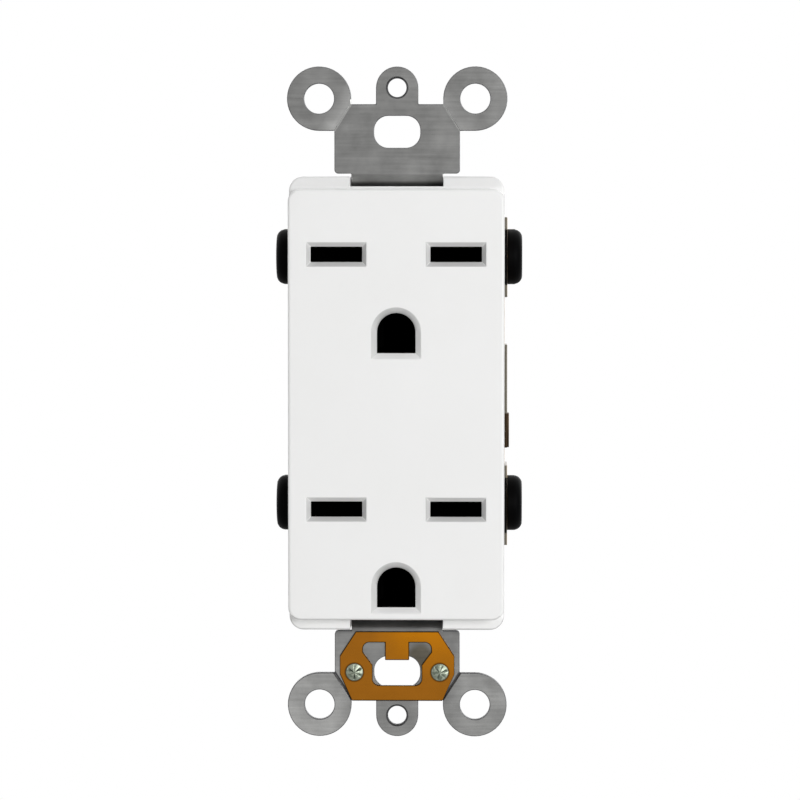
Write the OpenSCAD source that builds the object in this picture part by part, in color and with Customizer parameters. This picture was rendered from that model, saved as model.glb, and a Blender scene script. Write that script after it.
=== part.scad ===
// Duplex wall outlet: white face cover, dark back body, wrap-round steel strap, brass contacts
// and screw-and-clamp terminals. Sizes are in millimetres.
// X points right and Z up, seen from the room. Y points back into the wall.
// The origin is in the middle of the plane where the strap's ears meet the wall.

/* [Strap] */
// Thickness of the strap's steel
strap_t = 1.3; // [1.1:0.05:1.5]
// Width of the strap between its ears and the housing
strap_w = 19.3; // [18:0.1:20.5]
// Width of the leg that wraps round the housing
leg_w = 14.1; // [13:0.1:15]
// Inside radius of the strap's bends
bend_r = 0.6; // [0.5:0.05:0.8]
// Distance between the two box-screw slots
box_pitch = 83.34; // [82.5:0.01:84.5]
// Length of a box-screw slot
slot_w = 7.1; // [6.5:0.1:8]
// Height of a box-screw slot
slot_h = 4.9; // [4.4:0.1:5.2]
// Corner radius of a box-screw slot
slot_corner_r = 2.2; // [1.4:0.1:2.2]
// Distance between the two cover-plate screw holes
plate_pitch = 96.84; // [96:0.01:98]
// Diameter of a cover-plate screw hole
plate_hole_d = 2.86; // [2.5:0.02:3]
// Width of the tab round a cover-plate screw hole
plate_tab_w = 6.5; // [6:0.1:7]
// Distance between the ear holes across the strap
ear_pitch_x = 24.0; // [23:0.1:25]
// Distance between the ear holes along the strap
ear_pitch_z = 93.5; // [92.5:0.1:94.5]
// Outer diameter of an ear
ear_d = 9.86; // [9:0.02:10.4]
// Diameter of an ear's hole
ear_hole_d = 4.6; // [4:0.1:5.2]

/* [Face cover] */
// Width of the face
face_w = 33.0; // [32.6:0.1:33.6]
// Height of the face
face_h = 65.8; // [65.2:0.1:66.6]
// Radius of the face's corners
face_corner_r = 1.9; // [1.4:0.1:2.4]
// Rounding of the face's front edge
face_edge_r = 0.45; // [0.3:0.05:0.6]
// Height of the flange behind the face
flange_h = 69.6; // [69:0.1:70.4]
// Radius of the flange's corners
flange_corner_r = 2.2; // [1.8:0.1:2.6]
// Distance from the front of the strap to the face
face_rise = 7.0; // [6.5:0.1:7.5]
// Step from the face back to the flange
face_step = 4.0; // [3.5:0.1:4.4]
// Depth of the cover behind the plane of the wall
skirt_depth = 2.5; // [2:0.1:3]
// Thickness of the front wall
front_wall = 2.0; // [1.8:0.1:2.4]
// Thickness of the side walls
side_wall = 1.6; // [1.4:0.1:1.8]

/* [Outlets] */
// Distance between the two outlets
outlet_pitch = 38.9; // [38.4:0.1:39.4]
// Height of the middle of the two blade lines above the lower end of the flange
outlet_mid = 38.3; // [38:0.1:38.5]
// Distance between the middles of the two blades
blade_pitch = 18.24; // [17.8:0.02:18.6]
// Length of a blade slot
blade_slot_w = 7.85; // [7.5:0.05:8.2]
// Height of a blade slot
blade_slot_h = 2.34; // [2.1:0.02:2.6]
// Drop from the blade line to the middle of the ground pin
ground_drop = 11.86; // [11.6:0.02:12.1]
// Width of a ground hole
ground_hole_w = 5.84; // [5.6:0.02:6.1]
// Distance from the middle of the ground pin to the flat side of its hole
ground_flat = 3.18; // [3:0.02:3.3]
// Width of the bevel round a blade slot
slot_bevel = 0.7; // [0.5:0.05:0.8]
// Width of the bevel round a ground hole
ground_bevel = 0.9; // [0.6:0.05:1]
// Depth of the bevels
bevel_depth = 1.0; // [0.6:0.05:1.2]

/* [Back body] */
// How far each side of the body is inside the cover's side
body_inset = 0.3; // [0.2:0.05:0.5]
// Distance from the plane of the wall to the back of the body
body_depth = 25.4; // [25:0.1:26]
// Rounding of the body's rear edges
body_edge_r = 0.8; // [0.6:0.05:1]
// Diameter of a back-wire hole
wire_hole_d = 3.0; // [2.8:0.05:3.1]

/* [Contacts] */
// Thickness of the contact brass
brass_t = 0.8; // [0.7:0.05:0.9]
// Gap between a pair of blade leaves where they grip
blade_grip = 1.3; // [1.1:0.05:1.45]
// Gap between the arms of a ground contact where they grip
ground_grip = 4.3; // [4.2:0.02:4.5]
// Width of the blade leaves
leaf_w = 7.2; // [6.6:0.1:7.8]

/* [Terminals] */
// Depth of the terminal screws behind the plane of the wall
screw_depth = 15.0; // [14.7:0.05:15.3]
// Drop from the blade line to the terminal screw
screw_drop = 0.7; // [0.5:0.05:0.9]
// Outer diameter of a terminal screw's thread
screw_d = 4.1; // [3.9:0.02:4.2]
// Diameter of a terminal screw's head
head_d = 8.7; // [8.3:0.1:8.9]
// Thickness of a terminal screw's head
head_h = 2.3; // [2:0.05:2.5]
// Thickness of a wire clamp
clamp_t = 1.5; // [1.3:0.05:1.6]
// Room for the wire between an open clamp and its terminal plate
wire_room = 4.2; // [4:0.05:4.4]
// Height of the ground screw above the strap's lower leg
ground_screw_z = 4.75; // [4.55:0.05:4.85]
// Room for the wire between the open ground washer and its tab
ground_room = 1.65; // [1.62:0.01:1.7]

/* [Ground clip] */
// Thickness of the clip's bronze
clip_t = 0.45; // [0.35:0.05:0.55]
// Widest width of the clip
clip_w = 17.7; // [17.2:0.1:18]
// Distance between the clip's rivets
clip_rivet_pitch = 13.2; // [13:0.05:13.4]
// Diameter of a clip rivet's head
clip_rivet_d = 2.66; // [2.4:0.02:2.8]

/* [Hidden] */
$fn = 64;
cut = 1;              // how far a cut runs past the face it opens
seat = 0.05;          // clearance between pieces that rest against each other
slip = 0.1;           // clearance round pieces that slide into each other
thread_gap = 0.07;    // clearance round a screw in its thread

// Cover, from its face back to where it meets the body
face_y = -strap_t - face_rise;
flange_y = face_y + face_step;
wall_y = face_y + front_wall;
flange_edge_r = 0.3;
inner_w = face_w - 2 * side_wall;
inner_h = min(face_h, flange_h) - 2 * side_wall;
notch_w = leg_w + 2 * slip;
notch_z = flange_h / 2 - strap_t - 2 * slip;

// Strap: its leg lies over the end of the body and in a groove down the back.
// Its end plates keep the clip clear of the flange.
leg_z = notch_z + seat;
bend_z = leg_z + strap_t + bend_r;
clip_rise = 6.32;
slot_z = max(box_pitch / 2, flange_h / 2 + clip_rise + 2 * slip);
plate_z = slot_z + (plate_pitch - box_pitch) / 2;
ear_z = slot_z + (ear_pitch_z - box_pitch) / 2;
edge_drop = 0.85;
plate_edge = ear_z - edge_drop;
shoulder_r = 0.6;
plate_lead = 0.3;
score_w = [0.14, 0.36];   // upper and lower ears
score_end = 3.0;

// Body
body_w = face_w - 2 * body_inset;
body_x = body_w / 2;
body_short = 0.6;
body_h = flange_h - 2 * body_short;
body_corner_r = 1.5;
plug_y = wall_y + slip;
groove_y = body_depth - strap_t - 2 * seat;
leg_y = groove_y + seat;
floor_t = 4.1;
floor_y = groove_y - floor_t;
gauge_w = 2;
gauge_l = 16;
gauge_depth = 0.5;

// Heights of the upper and lower outlet, whose lower ground contact stays within the cover's walls
ground_arm_w = 5.2;
ground_low = outlet_pitch / 2 + ground_drop + ground_arm_w / 2 + slip;
outlet_z = max(outlet_mid - flange_h / 2, ground_low - inner_h / 2);
blade_z = [outlet_z + outlet_pitch / 2, outlet_z - outlet_pitch / 2];
ground_z = blade_z - [ground_drop, ground_drop];
screw_z = blade_z - [screw_drop, screw_drop];

// Blade leaves, which join the terminal plate by a web through the side wall
leaf_x0 = blade_pitch / 2 - leaf_w / 2;
leaf_x1 = blade_pitch / 2 + leaf_w / 2;
leaf_half = 2.45;
leaf_mouth_y = -3.4;
leaf_mouth_half = 2.35;
grip_y = 1.7;
leaf_lead = 5.3;
leaf_back = screw_depth - leaf_lead;
leaf_room = 0.5;
sheet_r = 0.75;
web_y0 = leaf_back - brass_t / 2;
web_y1 = leaf_back + brass_t / 2;
web_half = leaf_half - sheet_r;

// Terminal plates and the break-off link between them
plate_x = body_x + brass_t;
plate_half = 6.25;
plate_tail = 4.0;
plate_back = screw_depth + plate_tail;
fin_up = 5.0;
fin_down = 11.2;
fin_top = outlet_z + fin_up;
fin_bottom = outlet_z - fin_down;
fin_w = 5.0;
fin_mid = screw_depth - 1.5;
fin_y = around(fin_mid, fin_w / 2);
neck_w = 3.0;
neck_y = around(fin_mid, neck_w / 2);
lip_l = 5.4;
lip_t = 0.3;
pry_slot_l = 5.5;
pry_slot_w = 1.2;

// Wire clamps in their chambers
clamp_x1 = body_x - wire_room;
clamp_x0 = clamp_x1 - clamp_t;
clamp_half_z = 6.1;
clamp_half_y = 3.7;
clamp_room = 0.8;
pocket_x = clamp_x0 - clamp_room;
pocket_wall = 0.75;
pocket_y0 = web_y1 + pocket_wall;
pocket_y1 = screw_depth + clamp_half_y + 5 * slip;
pocket_half = clamp_half_z + 3 * slip;
shank_out = 0.4;
shank_x = clamp_x0 - shank_out;
point_l = 0.6;
head_edge_r = 1.3;
drive_w = 1.2;
drive_depth = 1.0;
cross_depth = 1.5;
wire_x = clamp_x1 + wire_hole_d / 2 + slip;
wire_gap = 0.35;
wire_z = screw_d / 2 + wire_hole_d / 2 + wire_gap;
funnel = 0.3;
groove_d = 0.4;

// Ground terminal on a tab of the strap at the lower left
washer_t = 1.0;
ground_head_h = 2.0;
ground_head_d = 8.2;
ground_stand = 1.55;
ground_head_x = body_x + ground_stand;
washer_x = ground_head_x - ground_head_h - washer_t;
tab_x1 = washer_x - ground_room;
tab_x0 = tab_x1 - strap_t;
tab_half = 4.3;
recess_x = tab_x0 - bend_r - slip;
ground_shank_out = 1.2;
ground_shank_x = tab_x0 - ground_shank_out;
ground_travel = 1.6;
ground_axis_z = ground_screw_z - leg_z;
recess_gap = 0.9;

// Fasteners through the back
back_y = leg_y + strap_t;
assembly_d = 3.2;
assembly_head_d = 6.0;
assembly_head_h = 1.7;
assembly_cross_l = 3.6;
assembly_cross_w = 0.95;
boss_d = 5.8;
boss_short = 1.0;
boss_end = skirt_depth - boss_short;
rivet_d = 3.0;
rivet_head_d = 5.2;
rivet_tail_d = 4.0;
rivet_tail_h = 0.9;

// Ground contacts, whose rivets stand off the pin's axis, level with the edge of the foot
ground_chamber = 4.35;
ground_flare = 0.7;
ground_spread = 0.5;
rivet_off = (ground_arm_w - rivet_tail_d) / 2;
rivet_z = ground_z + [rivet_off, rivet_off];

// Ground clip, measured down from its upper edge
clip_top = slot_z - clip_rise;
clip_h = 10.77;
clip_y = -strap_t - clip_t;
clip_top_w = 12.8;
clip_bottom_w = 14.0;
clip_side = [3.75, 6.65];
window_w = 10.56;
window_low_w = 7.56;
window_r = 1.0;
window_z = [1.71, 3.2, 5.2, 8.35];
tongue_w = 3.74;
tongue_l = 4.45;
clip_rivet_shank = 1.8;

BOX_FACES = [[3, 2, 1, 0], [4, 5, 6, 7], [1, 5, 4, 0], [2, 6, 5, 1], [3, 7, 6, 2], [0, 4, 7, 3]];

// Each of these draws its flat child along one axis of the part.
// Along Y the child is drawn in X and Z, along X in Y and Z.
module along_y(y0, y1) {
    translate([0, y1, 0]) rotate([90, 0, 0]) linear_extrude(y1 - y0) children();
}

module along_x(x0, x1) {
    translate([x0, 0, 0]) rotate([90, 0, 90]) linear_extrude(x1 - x0) children();
}

module along_z(z0, z1) {
    translate([0, 0, z0]) linear_extrude(z1 - z0) children();
}

module box(x, y, z) {
    translate([x[0], y[0], z[0]]) cube([x[1] - x[0], y[1] - y[0], z[1] - z[0]]);
}

function around(middle, half) = [middle - half, middle + half];

module pin_y(d, y0, y1) {
    translate([0, y1, 0]) rotate([90, 0, 0]) cylinder(h = y1 - y0, d = d);
}

module pin_x(d, x0, x1) {
    translate([x0, 0, 0]) rotate([0, 90, 0]) cylinder(h = x1 - x0, d = d);
}

// A flat piece w by h with round corners
module round_square(w, h, r) {
    square([w - 2 * r, h], center = true);
    square([w, h - 2 * r], center = true);
    for (sx = [-1, 1], sz = [-1, 1]) translate([sx * (w / 2 - r), sz * (h / 2 - r)]) circle(r);
}

// A flat piece a wide and d deep whose two corners at depth 0 are rounded
module soft_section(a, d, e) {
    translate([-a / 2, e]) square([a, d - e]);
    translate([-a / 2 + e, 0]) square([a - 2 * e, d]);
    for (s = [-1, 1]) translate([s * (a / 2 - e), e]) circle(e);
}

// A block with rounded corners, from y0 to y1, with the edge at y0 rounded
module soft_block(w, h, r, y0, y1, e) {
    translate([0, y0, 0]) {
        along_z(r - h / 2, h / 2 - r) soft_section(w, y1 - y0, e);
        along_x(r - w / 2, w / 2 - r) mirror([1, -1]) soft_section(h, y1 - y0, e);
        for (sx = [-1, 1], sz = [-1, 1]) translate([sx * (w / 2 - r), 0, sz * (h / 2 - r)])
            rotate([-90, 0, 0]) rotate_extrude() intersection() {
                soft_section(2 * r, y1 - y0, e);
                square([r, y1 - y0]);
            }
    }
}

// Cut with four sloping sides: w0 by h0 at the front, w1 by h1 and raised by lift at depth d
module bevel_cut(w0, h0, w1, h1, lift, d) {
    corners = [[-1, -1], [1, -1], [1, 1], [-1, 1]];
    polyhedron(concat([for (q = corners) [q[0] * w0 / 2, 0, q[1] * h0 / 2]],
        [for (q = corners) [q[0] * w1 / 2, d, q[1] * h1 / 2 + lift]]), BOX_FACES);
}

// A strip of sheet of thickness t that follows a path, with its bends rounded by r
function unit(v) = v / norm(v);
function arc(a, b, c, r) =
    let (u = unit(a - b), v = unit(c - b), half = acos(u * v) / 2, turn = 180 - 2 * half,
        mid = b + unit(u + v) * r / sin(half),
        p = b + u * r / tan(half) - mid,
        q = b + v * r / tan(half) - mid)
    [for (i = [0:5]) mid + (p * sin((1 - i / 5) * turn) + q * sin(i / 5 * turn)) / sin(turn)];
function rounded(p, r) =
    concat([p[0]], [for (i = [1:len(p) - 2]) each arc(p[i - 1], p[i], p[i + 1], r)], [p[len(p) - 1]]);
function normal(p, i) = let (v = unit(p[i + 1] - p[i])) [-v[1], v[0]];
function shift(p, i) =
    i == 0 ? normal(p, 0) :
    i == len(p) - 1 ? normal(p, i - 1) :
    (normal(p, i - 1) + normal(p, i)) / (1 + normal(p, i - 1) * normal(p, i));

module strip(path, t, r) {
    p = rounded(path, r);
    polygon(concat(
        [for (i = [0:len(p) - 1]) p[i] + shift(p, i) * t / 2],
        [for (i = [len(p) - 1:-1:0]) p[i] - shift(p, i) * t / 2]));
}

// White cap: raised face on a taller flange, bevelled openings, bosses for the assembly screws
// and tongues that close the slots through which the contacts are put in
module face_cover() {
    color("#ECECEC") {
        difference() {
            union() {
                soft_block(face_w, face_h, face_corner_r, face_y, flange_y + flange_corner_r, face_edge_r);
                soft_block(face_w, flange_h, flange_corner_r, flange_y, skirt_depth, flange_edge_r);
            }
            along_y(wall_y, skirt_depth + cut) square([inner_w, inner_h], center = true);
            for (s = [0, 1]) mirror([0, 0, s])
                box([-notch_w / 2, notch_w / 2], [flange_y - cut, skirt_depth + cut], [notch_z, flange_h]);
            for (i = [0, 1]) {
                for (s = [-1, 1]) translate([s * blade_pitch / 2, face_y, blade_z[i]]) blade_opening();
                translate([0, face_y, ground_z[i]]) ground_opening();
            }
        }
        for (z = blade_z) translate([0, 0, z]) {
            difference() {
                pin_y(boss_d, wall_y - front_wall / 4, boss_end);
                pin_y(assembly_d + 2 * thread_gap, wall_y + seat, boss_end + cut);
            }
            for (s = [0, 1]) mirror([s, 0, 0])
                box([inner_w / 2, body_x], [skirt_depth - side_wall, web_y0 - slip], around(0, web_half));
        }
    }
}

module blade_opening() {
    box(around(0, blade_slot_w / 2), [-cut, front_wall + cut], around(0, blade_slot_h / 2));
    translate([0, -bevel_depth, 0]) bevel_cut(
        blade_slot_w + 4 * slot_bevel, blade_slot_h + 4 * slot_bevel,
        blade_slot_w, blade_slot_h, 0, 2 * bevel_depth);
}

module ground_opening() {
    wide = ground_hole_w + 4 * ground_bevel;
    low = ground_flat + 2 * ground_bevel;
    along_y(-cut, front_wall + cut) {
        circle(d = ground_hole_w);
        translate([-ground_hole_w / 2, -ground_flat]) square([ground_hole_w, ground_flat]);
    }
    translate([0, bevel_depth, 0]) rotate([90, 0, 0])
        cylinder(h = 2 * bevel_depth, d1 = ground_hole_w, d2 = wide);
    translate([0, -bevel_depth, -low / 2]) bevel_cut(
        wide, low, ground_hole_w, ground_flat, (low - ground_flat) / 2, 2 * bevel_depth);
}

// Dark moulded body: contact chambers open to the front, terminal chambers open to the sides,
// back-wire holes and a groove for the strap
module back_body() {
    color("#26272A") difference() {
        union() {
            translate([0, body_depth + skirt_depth, 0]) mirror([0, 1, 0])
                soft_block(body_w, body_h, body_corner_r, skirt_depth, body_depth, body_edge_r);
            along_y(plug_y, skirt_depth + cut)
                square([inner_w - 2 * slip, inner_h - 2 * slip], center = true);
        }
        for (s = [0, 1]) mirror([0, 0, s])
            box([-notch_w / 2, notch_w / 2], [skirt_depth - cut, body_depth + cut], [notch_z, flange_h]);
        box([-notch_w / 2, notch_w / 2], [groove_y, body_depth + cut], [-body_h, body_h]);
        for (s = [-1, 1]) along_x(-notch_w / 2, notch_w / 2) translate([groove_y, s * notch_z])
            rotate(45) square(bend_r * sqrt(2), center = true);
        for (i = [0, 1]) {
            for (s = [0, 1]) mirror([s, 0, 0]) terminal_room(i);
            translate([0, 0, ground_z[i]]) {
                box(around(0, ground_chamber), [plug_y - cut, floor_y], around(0, ground_chamber));
                translate([0, 0, rivet_off]) pin_y(rivet_d + 2 * slip, floor_y - cut, body_depth);
            }
            translate([0, 0, blade_z[i]]) {
                pin_y(boss_d + 4 * slip, plug_y - cut, boss_end + slip);
                pin_y(assembly_d + 4 * slip, plug_y, body_depth);
            }
        }
        ground_recess();
        box([-wire_x - gauge_w / 2, -wire_x + gauge_w / 2], [body_depth - gauge_depth, body_depth + cut],
            around(outlet_z - screw_drop, gauge_l / 2));
    }
}

// Blade chamber, slot for the web, clamp chamber and two back-wire holes of one terminal
module terminal_room(i) {
    web_room = [plug_y - cut, web_y1 + slip];
    box([leaf_x0 - leaf_room, leaf_x1 + leaf_room], web_room, around(blade_z[i], leaf_half + 2 * leaf_room));
    box([leaf_x1, body_x + cut], web_room, around(blade_z[i], web_half + slip));
    box([pocket_x, body_x + cut], [pocket_y0, pocket_y1], around(screw_z[i], pocket_half));
    for (s = [-1, 1]) translate([wire_x, 0, screw_z[i] + s * wire_z]) {
        pin_y(wire_hole_d, pocket_y1 - cut, body_depth + cut);
        translate([0, body_depth + funnel, 0]) rotate([90, 0, 0])
            cylinder(h = 2 * funnel, d1 = wire_hole_d + 4 * funnel, d2 = wire_hole_d);
    }
}

// Corner of the body cut away for the strap's ground tab, its screw and its washer
module ground_recess() {
    box([-body_x - cut, -recess_x], [screw_depth - tab_half - recess_gap, body_depth + cut],
        [-body_h, ground_axis_z + tab_half + 3 * slip]);
    box([-recess_x - cut, 0], around(screw_depth, tab_half + 2 * slip), [-body_h, -notch_z]);
    translate([0, screw_depth, ground_axis_z])
        pin_x(screw_d + 6 * slip, -recess_x - cut, ground_travel + 6 * slip - ground_shank_x);
}

// Galvanised strap: two eared end plates, joined by a leg that wraps round the body
module mounting_strap() {
    color("#8A8B8C") difference() {
        union() {
            for (s = [0, 1]) mirror([0, 0, s]) {
                along_y(-strap_t, 0) end_plate();
                along_x(-leg_w / 2, leg_w / 2) leg_side();
            }
            ground_tab();
        }
        for (s = [0, 1]) mirror([0, 0, s]) {
            for (t = [0, 1]) mirror([t, 0, 0]) ear_score(score_w[s]);
            translate([0, plate_lead - strap_t, plate_z]) rotate([90, 0, 0])
                cylinder(h = 2 * plate_lead, d1 = plate_hole_d, d2 = plate_hole_d + 4 * plate_lead);
        }
        for (s = [-1, 1]) translate([s * clip_rivet_pitch / 2, 0, -slot_z])
            pin_y(clip_rivet_shank, -strap_t - cut, cut);
        for (z = rivet_z) translate([0, 0, z]) pin_y(rivet_d + slip, leg_y - cut, back_y + cut);
        for (z = blade_z) translate([0, 0, z]) pin_y(assembly_d + 3 * slip, leg_y - cut, back_y + cut);
    }
}

module end_plate() {
    ear_r = ear_d / 2;
    neck = plate_edge - bend_z;
    difference() {
        union() {
            translate([0, bend_z + neck / 2]) round_square(strap_w, neck, shoulder_r);
            translate([0, plate_z]) circle(d = plate_tab_w);
            translate([-plate_tab_w / 2, plate_edge - cut])
                square([plate_tab_w, plate_z - plate_edge + cut]);
            for (s = [0, 1]) mirror([s, 0]) translate([ear_pitch_x / 2, ear_z]) {
                circle(r = ear_r);
                translate([-ear_r, -ear_r]) square([ear_r, ear_r]);
            }
        }
        translate([0, slot_z]) round_square(slot_w, slot_h, slot_corner_r);
        translate([0, plate_z]) circle(d = plate_hole_d);
        for (s = [-1, 1]) translate([s * ear_pitch_x / 2, ear_z]) circle(d = ear_hole_d);
    }
}

// Groove of a given width across the neck of an ear, along which the ear breaks off
module ear_score(w) {
    a = [strap_w / 2, ear_z - ear_d / 2];
    b = [ear_pitch_x / 2 - ear_d / 2, plate_edge];
    run = norm(b - a);
    translate([(a[0] + b[0]) / 2, -strap_t, (a[1] + b[1]) / 2])
        rotate([0, -atan2(b[1] - a[1], b[0] - a[0]), 0]) rotate([45, 0, 0])
            cube([run + score_end, w, w], center = true);
}

// Upper half of the strap's side view: bend behind the ears, leg over the end, bend and run down the back
module leg_side() {
    translate([bend_r, bend_z]) quarter_bend(-1, -1);
    translate([bend_r, leg_z]) square([leg_y - 2 * bend_r, strap_t]);
    translate([leg_y - bend_r, leg_z - bend_r]) quarter_bend(1, 1);
    translate([leg_y, 0]) square([strap_t, leg_z - bend_r]);
}

module quarter_bend(a, b) {
    r = bend_r + strap_t;
    intersection() {
        difference() {
            circle(r);
            circle(bend_r);
        }
        translate([a > 0 ? 0 : -r, b > 0 ? 0 : -r]) square(r);
    }
}

// Tab bent up from the lower leg, with the ground screw's hole
module ground_tab() {
    rise = ground_screw_z + tab_half - bend_r;
    difference() {
        along_y(screw_depth - tab_half, screw_depth + tab_half) {
            translate([-tab_x0 + bend_r, -leg_z - strap_t]) square([tab_x0 - bend_r, strap_t]);
            translate([-tab_x0 + bend_r, -leg_z + bend_r]) quarter_bend(-1, -1);
            translate([-tab_x1, -leg_z + bend_r]) square([strap_t, rise]);
        }
        translate([0, screw_depth, ground_axis_z])
            pin_x(screw_d + 2 * thread_gap, -tab_x1 - cut, -tab_x0 + cut);
    }
}

// Bronze self-grounding clip with its spring tongue over the lower box-screw slot
module ground_clip() {
    half = [clip_top_w / 2, clip_w / 2, clip_w / 2, clip_bottom_w / 2];
    drop = [0, clip_side[0], clip_side[1], clip_h];
    color("#A36A1C") along_y(clip_y, -strap_t) difference() {
        translate([0, -clip_top]) difference() {
            polygon(concat([for (i = [0:3]) [half[i], -drop[i]]], [for (i = [3:-1:0]) [-half[i], -drop[i]]]));
            clip_window();
        }
        for (s = [-1, 1]) translate([s * clip_rivet_pitch / 2, -slot_z]) circle(d = clip_rivet_shank);
    }
}

// Window of the clip: wide above, slanting in to a narrower part below, with the tongue left standing
module clip_window() {
    upper = window_z[1] + window_r - window_z[0];
    lower = window_z[3] - window_z[2] + window_r;
    difference() {
        union() {
            intersection() {
                translate([0, -window_z[0] - upper / 2]) round_square(window_w, upper, window_r);
                translate([-window_w, -window_z[1]]) square([2 * window_w, upper]);
            }
            polygon([[-window_w / 2, -window_z[1]], [window_w / 2, -window_z[1]],
                [window_low_w / 2, -window_z[2]], [-window_low_w / 2, -window_z[2]]]);
            intersection() {
                translate([0, lower / 2 - window_z[3]]) round_square(window_low_w, lower, window_r);
                translate([-window_w, -window_z[3]]) square([2 * window_w, lower - window_r]);
            }
        }
        translate([-tongue_w / 2, -tongue_l]) square([tongue_w, tongue_l]);
    }
}

// A low domed rivet head of diameter d, standing on the plane below it
module dome(d) {
    rotate_extrude() intersection() {
        translate([0, -d]) circle(r = norm([d, d / 2]));
        square([d / 2, d]);
    }
}

// Zinc rivets of the clip: low head in front, flush with the strap behind
module ground_clip_rivets() {
    color("#9A9C94") for (s = [-1, 1]) translate([s * clip_rivet_pitch / 2, clip_y, -slot_z]) {
        pin_y(clip_rivet_shank - seat, 0, clip_t + strap_t - seat);
        rotate([90, 0, 0]) dome(clip_rivet_d);
    }
}

// Brass contact of one side: two terminal plates, their blade leaves and the break-off link between them
module hot_contact() {
    grip = (blade_grip + brass_t) / 2;
    leaf = [[leaf_mouth_y, leaf_mouth_half], [grip_y, grip], [leaf_back, leaf_half]];
    difference() {
        union() {
            for (i = [0, 1]) {
                translate([0, 0, blade_z[i]]) {
                    along_x(leaf_x0, leaf_x1)
                        strip(concat(leaf, [for (j = [2:-1:0]) [leaf[j][0], -leaf[j][1]]]), brass_t, sheet_r);
                    box([leaf_x1 - brass_t, plate_x], [web_y0, web_y1], around(0, web_half));
                }
                translate([0, 0, screw_z[i]])
                    box([body_x, plate_x], [web_y0, plate_back], around(0, plate_half));
            }
            box([body_x, plate_x], fin_y, [fin_bottom, fin_top]);
            box([body_x, plate_x + lip_t], neck_y, [fin_bottom, fin_bottom + lip_l]);
            box([body_x, body_x + brass_t / 2], neck_y,
                [screw_z[1] + plate_half - brass_t, screw_z[0] - plate_half + brass_t]);
        }
        for (z = screw_z) translate([0, screw_depth, z])
            pin_x(screw_d + 3 * slip, body_x - cut, plate_x + cut);
        box([body_x - cut, plate_x + cut], around((neck_y[0] + neck_y[1]) / 2, pry_slot_w / 2),
            around(outlet_z, pry_slot_l / 2));
    }
}

module hot_contact_right() {
    color("#B8903F") hot_contact();
}

module hot_contact_left() {
    color("#B8903F") mirror([1, 0, 0]) hot_contact();
}

// Brass clip that grips a ground pin, riveted to the strap through the floor of the body
module ground_contact(i) {
    foot = floor_y - brass_t / 2;
    grip = (ground_grip + brass_t) / 2;
    arm = [[grip + ground_flare, leaf_mouth_y], [grip, grip_y], [grip + ground_spread, foot]];
    color("#B8903F") translate([0, 0, ground_z[i]]) difference() {
        along_z(-ground_arm_w / 2, ground_arm_w / 2)
            strip(concat(arm, [for (j = [2:-1:0]) [-arm[j][0], arm[j][1]]]), brass_t, sheet_r);
        translate([0, 0, rivet_off]) pin_y(rivet_d + slip, foot - cut, floor_y + cut);
    }
}

// Rivets that join strap, body and ground contacts
module ground_contact_rivets() {
    tail_y = floor_y - brass_t;
    color("#9A9C94") for (z = rivet_z) translate([0, 0, z]) {
        pin_y(rivet_d, tail_y - rivet_tail_h, back_y);
        pin_y(rivet_tail_d, tail_y - rivet_tail_h, tail_y);
        translate([0, back_y, 0]) rotate([-90, 0, 0]) dome(rivet_head_d);
    }
}

// A screw head of diameter d and height h with a rounded rim, its top at 0 and its axis down Z
module screw_head(d, h, e) {
    rotate_extrude() intersection() {
        soft_section(d, h, e);
        square([d / 2, h]);
    }
}

// Screws through strap and body into the cover's bosses
module assembly_screws() {
    color("#9A9C94") for (z = blade_z) translate([0, 0, z]) difference() {
        union() {
            pin_y(assembly_d, wall_y + front_wall / 4, back_y + assembly_head_h / 2);
            translate([0, back_y + assembly_head_h, 0]) rotate([90, 0, 0])
                screw_head(assembly_head_d, assembly_head_h, assembly_head_h / 2);
        }
        for (a = [0, 90]) rotate([0, a, 0]) box(around(0, assembly_cross_l / 2),
            [back_y + assembly_head_h - drive_depth, back_y + assembly_head_h + cut],
            around(0, assembly_cross_w / 2));
    }
}

// Threaded part of a terminal screw, from its point at x0 to the head at x1
module shank(x0, x1) {
    pin_x(screw_d, x0 + point_l, x1);
    translate([x0, 0, 0]) rotate([0, 90, 0]) cylinder(h = point_l, d1 = screw_d - 2 * point_l, d2 = screw_d);
}

// Terminal screw of the right side, drawn with its axis on X
module terminal_screw() {
    top = plate_x + seat + head_h;
    difference() {
        union() {
            shank(shank_x, top - head_h / 2);
            translate([top, 0, 0]) rotate([0, -90, 0]) screw_head(head_d, head_h, head_edge_r);
        }
        box([top - drive_depth, top + cut], around(0, drive_w / 2), around(0, head_d));
        box([top - cross_depth, top + cut], around(0, head_d / 4), around(0, drive_w / 2));
    }
}

module terminal_screw_at(i, side) {
    color("#1B1B1D") mirror([side, 0, 0]) translate([0, screw_depth, screw_z[i]]) terminal_screw();
}

// Nut plate that the terminal screw draws outwards on to the two wires
module wire_clamp() {
    difference() {
        box([clamp_x0, clamp_x1], around(0, clamp_half_y), around(0, clamp_half_z));
        pin_x(screw_d + 2 * thread_gap, clamp_x0 - cut, clamp_x1 + cut);
        for (s = [-1, 1]) translate([clamp_x1, 0, s * wire_z])
            along_y(-clamp_half_y - cut, clamp_half_y + cut)
                rotate(45) square(groove_d * sqrt(2), center = true);
    }
}

module wire_clamp_at(i, side) {
    color("#B5B2A6") mirror([side, 0, 0]) translate([0, screw_depth, screw_z[i]]) wire_clamp();
}

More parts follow.
